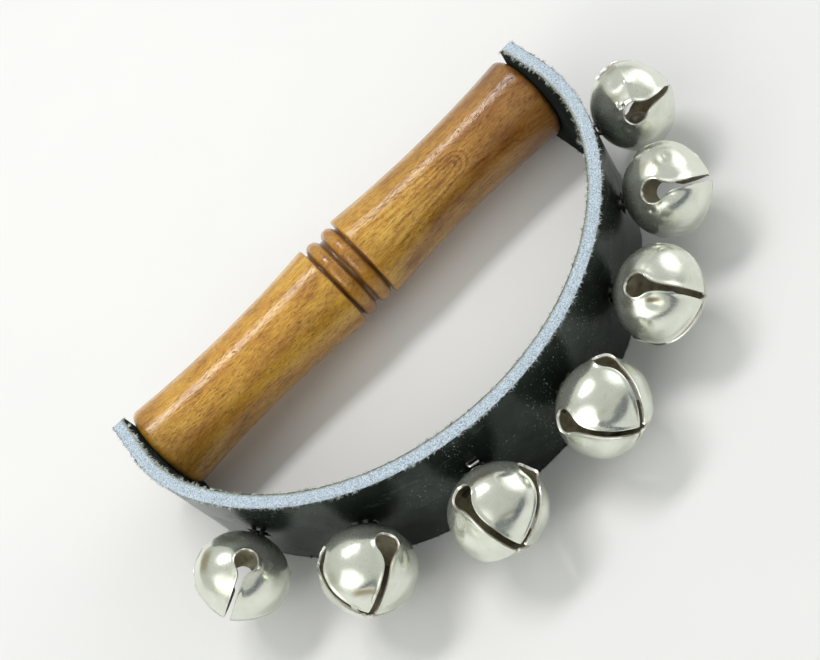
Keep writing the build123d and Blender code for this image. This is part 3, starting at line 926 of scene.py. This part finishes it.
# Rolled slit lips, as (keyhole, side, height, length along the slit, roll outwards)
BELL_LIPS = {
    1: [(0, 1, 2.5, 2.2, 0.25), (0, -1, 3, 3, -0.55), (0, 1, -2, 2.5, 0.3)],
    2: [(0, 1, 3, 4.5, 0.35), (0, -1, 3.5, 4, 0.45), (0, 1, -3, 2, 0.4), (0, -1, -3, 2, 0.4)],
    3: [(0, -1, -1.5, 1.5, 0.6), (1, 1, 5, 4, 0.3), (1, -1, 0, 2, 0.3), (1, 1, -3, 2, 0.35)],
    4: [(0, -1, -3, 1.8, 0.7), (0, 1, -3, 1.8, 0.6), (1, 1, 8, 3.5, 0.4), (1, 1, -2, 2.5, 0.4)],
    5: [(1, 1, 1.5, 1.2, 0.2), (1, -1, 1, 2, 0.3), (1, -1, 7.5, 3, 0.3), (1, 1, -3, 2.2, 0.35)],
    6: [(1, -1, 2, 3, 0.4), (1, -1, 7.5, 3, 0.45), (1, 1, 2.5, 2.4, -0.6), (1, 1, -3.5, 1.4, 0.45)],
    7: [(1, -1, 1, 1.6, 0.3), (1, 1, 2, 2.5, 0.25), (1, 1, -3.4, 1.4, 0.5), (1, -1, -3, 1.2, 0.5)],
}

# Heights where each bell's funnels end
FUNNEL_ENDS = {1: 3.4, 2: 5, 3: 6, 4: 6, 5: 6.4, 6: 4.6, 7: 6.6}

# How far each petal stands out at its tip, from the first keyhole round
PETAL_OFFSETS = {
    1: (0.1, 0.25, 0.3, 0.15),
    2: (0.05, 0.3, 0.2, 0.25),
    3: (0.15, 0.95, 0.2, 0.3),
    4: (0.1, 0.35, 0.15, 0.3),
    5: (0.3, 0.05, 0.2, 0.3),
    6: (0.1, 0.35, 0.3, 0.15),
    7: (0.2, 0.1, 0.3, 0.25),
}


def bell_distance(azimuth, height, to_azimuth, to_height, radius):
    """How far two places on a bell lie apart: across it and along it."""
    turn = radians((azimuth - to_azimuth + 180) % 360 - 180)
    return radius * turn, height - to_height


def crease_depth(azimuth, height, radius, crease):
    start_azimuth, start_height, end_azimuth, end_height, width, depth = crease
    turn = (end_azimuth - start_azimuth + 180) % 360 - 180
    length_across, length_along = radius * radians(turn), end_height - start_height
    across, along = bell_distance(azimuth, height, start_azimuth, start_height, radius)
    length = hypot(length_across, length_along)
    share = (across * length_across + along * length_along) / length ** 2
    clipped = min(1.0, max(0.0, share))
    off = hypot(across - clipped * length_across, along - clipped * length_along)
    return depth * exp(-off / width)


def bell_relief(number, azimuth, height, radius, spot):
    """How far the skin stands out from the true bell at a place, in millimetres."""
    out = 0.13 * ripple(spot, 6.5, number) + 0.03 * ripple(spot, 2.4, number + 20)
    for to_azimuth, to_height, wide, tall, depth in BELL_DENTS[number]:
        across, along = bell_distance(azimuth, height, to_azimuth, to_height, radius)
        out -= depth * exp(-(across / wide) ** 2 - (along / tall) ** 2)
    for crease in BELL_CREASES[number]:
        out -= crease_depth(azimuth, height, radius, crease)
    distance, slit, side = edge_distance(azimuth, height, radius, FUNNEL_ENDS[number])
    out += 0.26 * exp(-(distance / 0.6) ** 2)
    for at_slit, at_side, at_height, reach, roll in BELL_LIPS[number]:
        if slit == at_slit and side == at_side:
            near = exp(-((height - at_height) / reach) ** 2)
            out += roll * near * exp(-(distance / 1.1) ** 1.5)
    petal = int(azimuth // 90) % 4
    growth = min(1.0, max(0.0, height / 8))
    return out + PETAL_OFFSETS[number][petal] * growth


# How strongly the warm marks lie at a place: real stains and painted reflections alike.
def stain_and_reflection_at(number, azimuth, height, radius):
    stain_and_reflection = 0.0
    for to_azimuth, to_height, wide, tall, strength in BELL_STAINS_AND_REFLECTIONS[number]:
        across, along = bell_distance(azimuth, height, to_azimuth, to_height, radius)
        stain_and_reflection = max(stain_and_reflection, strength * exp(-(across / wide) ** 4 - (along / tall) ** 4))
    return stain_and_reflection


def make_bell(number, materials):
    """One bell: four petals and a crown, pressed from one sheet, with its own dents and lips."""
    turn = radians(BELL_TURNS[number - 1])
    matrix = bell_frame(number)
    columns = PETAL_COLUMNS
    shares = [0.55 * t + 0.45 * sin(pi / 2 * t) for t in np.linspace(-1, 1, columns + 1)]
    points = [matrix @ Vector((0, 0, DOME[1] - DOME[2]))]
    stain_and_reflections = [0.0]
    faces = []
    previous = None
    for height in ring_heights():
        radius, across, rise = bell_outline_at(height)
        half_angle = petal_half_angle(height, radius, FUNNEL_ENDS[number])
        whole = slit_half_at(height) < 0.01
        ring = []
        for petal in range(4):
            row = []
            for j, share in enumerate(shares):
                if whole and j == columns:
                    row.append(None)
                    continue
                angle = radians(45 + 90 * petal) + share * half_angle
                azimuth = degrees(angle) % 360
                spot = Vector((radius * cos(angle), radius * sin(angle), height))
                inside_petal = min(90 * petal + 89.99, max(90 * petal + 0.01, azimuth))
                out = bell_relief(number, inside_petal, height, radius, spot)
                place = angle + turn
                reach = radius + across * out
                local = Vector((reach * cos(place), reach * sin(place), height + rise * out))
                points.append(matrix @ local)
                stain_and_reflections.append(stain_and_reflection_at(number, azimuth, height, radius))
                row.append(len(points) - 1)
            ring.append(row)
        if whole:
            for petal in range(4):
                ring[petal][columns] = ring[(petal + 1) % 4][0]
        if previous is None:
            faces += [(0, row[j + 1], row[j]) for row in ring for j in range(columns)]
        else:
            for upper, lower in zip(previous, ring):
                faces += [(upper[j], upper[j + 1], lower[j + 1], lower[j]) for j in range(columns)]
        previous = ring
    shell = piece_from(f"bell_sheet_{number}", [tuple(p) for p in points], faces, f"bell_{number}",
                       materials)
    float_layer(shell, "stain_and_reflection", stain_and_reflections)
    thicken_sheet(shell)
    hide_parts(f"bell_shell_{number}")


def thicken_sheet(shell):
    """Gives the skin its wall, inwards, with a dull inside and rounded edges whose whiter metal is a painted
    glint.
    """
    wall = shell.modifiers.new("wall", "SOLIDIFY")
    wall.thickness = BELL_WALL * MM
    wall.material_offset = 1
    wall.material_offset_rim = 2
    round_edges(shell, BELL_EDGE_ROUNDING, 50)
    normals = shell.modifiers.new("normals", "WEIGHTED_NORMAL")
    normals.keep_sharp = True


# ---- CAD nodes that stay ----

def finish_cad_nodes(dressing):
    """The screws, washers, wires and pellets keep their CAD shape; screws and washers get rounded edges.
    Dressing gives the material for names that start alike; a later entry goes over an earlier one."""
    for name, obj in frame["nodes"].items():
        for start, material in dressing.items():
            if not name.startswith(start):
                continue
            obj.data.materials.clear()
            obj.data.materials.append(material)
            if start in ("screw", "washer"):
                round_edges(obj, FASTENER_EDGE_ROUNDING, 40)


# ---- Stage ----

def make_floor(material):
    half = 4.0
    mesh = bpy.data.meshes.new("floor")
    mesh.from_pydata([(-half, -half, 0), (half, -half, 0), (half, half, 0), (-half, half, 0)], [],
                     [(0, 1, 2, 3)])
    mesh.materials.append(material)
    add_object("floor", mesh)


def soft_box(name, direction, distance, size, power, colour):
    """A square area light that looks at the handle from a direction."""
    light = bpy.data.lights.new(name, "AREA")
    light.shape = "RECTANGLE"
    light.size, light.size_y = size
    light.energy = power
    light.color = colour
    lamp = add_object(name, light)
    towards = Vector(direction).normalized()
    lamp.location = HANDLE_MIDDLE + towards * distance
    lamp.rotation_euler = towards.to_track_quat("Z", "Y").to_euler()


def make_lights():
    soft_box("overhead", (0.0, 0.35, 0.92), 0.9, (0.46, 0.17), 3.6, (1.0, 0.99, 0.97))
    soft_box("left", (-0.77, -0.36, 0.52), 1.0, (0.24, 0.20), 0.8, (1.0, 0.99, 0.96))


# Soft bright places of the room, as (direction, angle where it is full, angle where it ends, colour)
GLOWS = [
    ((-0.77, -0.36, 0.54), 2, 36, (1.75, 1.75, 1.65)),
    ((0.95, 0.11, 0.28), 2, 34, (1.42, 1.44, 1.47)),
]


def make_surroundings():
    """A pale room with bright windows, darker low down on the camera's side."""
    world = bpy.data.worlds.new("room")
    bpy.context.scene.world = world
    world.use_nodes = True
    tree = world.node_tree
    background = tree.nodes["Background"]
    direction = add_node(tree, "ShaderNodeTexCoord").outputs["Generated"]
    x, y, z = add_node(tree, "ShaderNodeSeparateXYZ", {"Vector": direction}).outputs
    height = remap(z, -0.1, 0.9)
    stops = [(0.0, (0.43, 0.45, 0.41)), (0.35, (0.49, 0.50, 0.46)), (1.0, (0.56, 0.57, 0.56))]
    room = colour_ramp(height, stops)
    band = remap(apart(z, 0.13), 0.20, 0.12)
    dark = times(band, remap(y, -0.50, -0.72))
    seen = mix_colours(dark, room, (0.040, 0.055, 0.085))
    for towards, inner, outer, colour in GLOWS:
        spot = add_node(tree, "ShaderNodeVectorMath", {0: direction, 1: Vector(towards).normalized()},
                        operation="DOT_PRODUCT").outputs["Value"]
        glow = remap(spot, cos(radians(outer)), cos(radians(inner)),
                     interpolation_type="SMOOTHSTEP")
        lit = mix_colours(glow, (0.0, 0.0, 0.0), colour)
        seen = mix_colours(1.0, seen, lit, "ADD")
    fill(background, {"Color": seen, "Strength": 1.0})


def make_camera():
    camera = bpy.data.cameras.new("camera")
    camera.lens = CAMERA_LENS
    camera.sensor_width = 36.0
    camera.clip_start = 0.01
    axes = (Vector(CAMERA_RIGHT), -Vector(CAMERA_DOWN), -Vector(CAMERA_FORWARD))
    turned = Matrix(axes).transposed()
    obj = add_object("camera", camera)
    place = HANDLE_MIDDLE + Vector(CAMERA_PLACE) * MM
    obj.matrix_world = Matrix.LocRotScale(place, turned.to_quaternion(), None)
    bpy.context.scene.camera = obj


# ---- Scene ----

def build():
    # The bells' warm mark colour serves both real stains and painted reflections.
    nickel = metal_material("bell_nickel", (0.81, 0.84, 0.75), (0.70, 0.725, 0.63), (0.14, 0.28),
                            tarnish=(0.58, 0.52, 0.36), haze=0.17, stain_and_reflection=(0.34, 0.27, 0.13))
    # The cut edges are whiter than the plating: a painted glint along the rims of the keyholes and petals.
    cut_edge_painted_glint = metal_material("nickel_cut_edge_painted_glint", (0.97, 0.97, 0.92), (0.80, 0.77, 0.66), (0.22, 0.42),
                              haze=0.2)
    inside = bell_inside_material()
    steel = metal_material("screw_steel", (0.66, 0.65, 0.62), (0.50, 0.49, 0.45), (0.25, 0.42))
    washer_steel = metal_material("washer_steel", (0.72, 0.71, 0.68), (0.55, 0.54, 0.50), (0.22, 0.40))
    # Painted shade: the loops and the staples are coloured near black for the shade they sit in about the
    # strap's inner face; only the third bell's staple, whose leg shows beside that bell, has the bright wire
    # colour.
    wire = metal_material("loop_wire", (0.16, 0.16, 0.14), (0.08, 0.08, 0.06), (0.34, 0.55))
    painted_shade_staple = metal_material("painted_shade_staple_wire", (0.10, 0.10, 0.085), (0.05, 0.05, 0.04), (0.4, 0.6))
    bright_staple = metal_material("bright_staple_wire", (0.80, 0.79, 0.75), (0.62, 0.60, 0.54), (0.25, 0.4))
    ball = metal_material("pellet_steel", (0.24, 0.22, 0.19), (0.14, 0.12, 0.09), (0.45, 0.65),
                          tarnish=(0.16, 0.08, 0.04), haze=0.3)
    make_handle(wood_material())
    strap = make_strap_body(leather_material())
    cut_fixings(strap)
    make_fibres(fibre_material())
    for number in BELL_NUMBERS:
        make_bell(number, [nickel, inside, cut_edge_painted_glint])
    finish_cad_nodes({"screw": steel, "washer": washer_steel, "bell_loop": wire, "bell_staple": painted_shade_staple,
                      "bell_staple_3": bright_staple, "bell_pellet": ball})
    make_floor(floor_material())
    make_lights()
    make_surroundings()
    make_camera()
    bpy.context.scene.view_settings.view_transform = "Standard"


build()
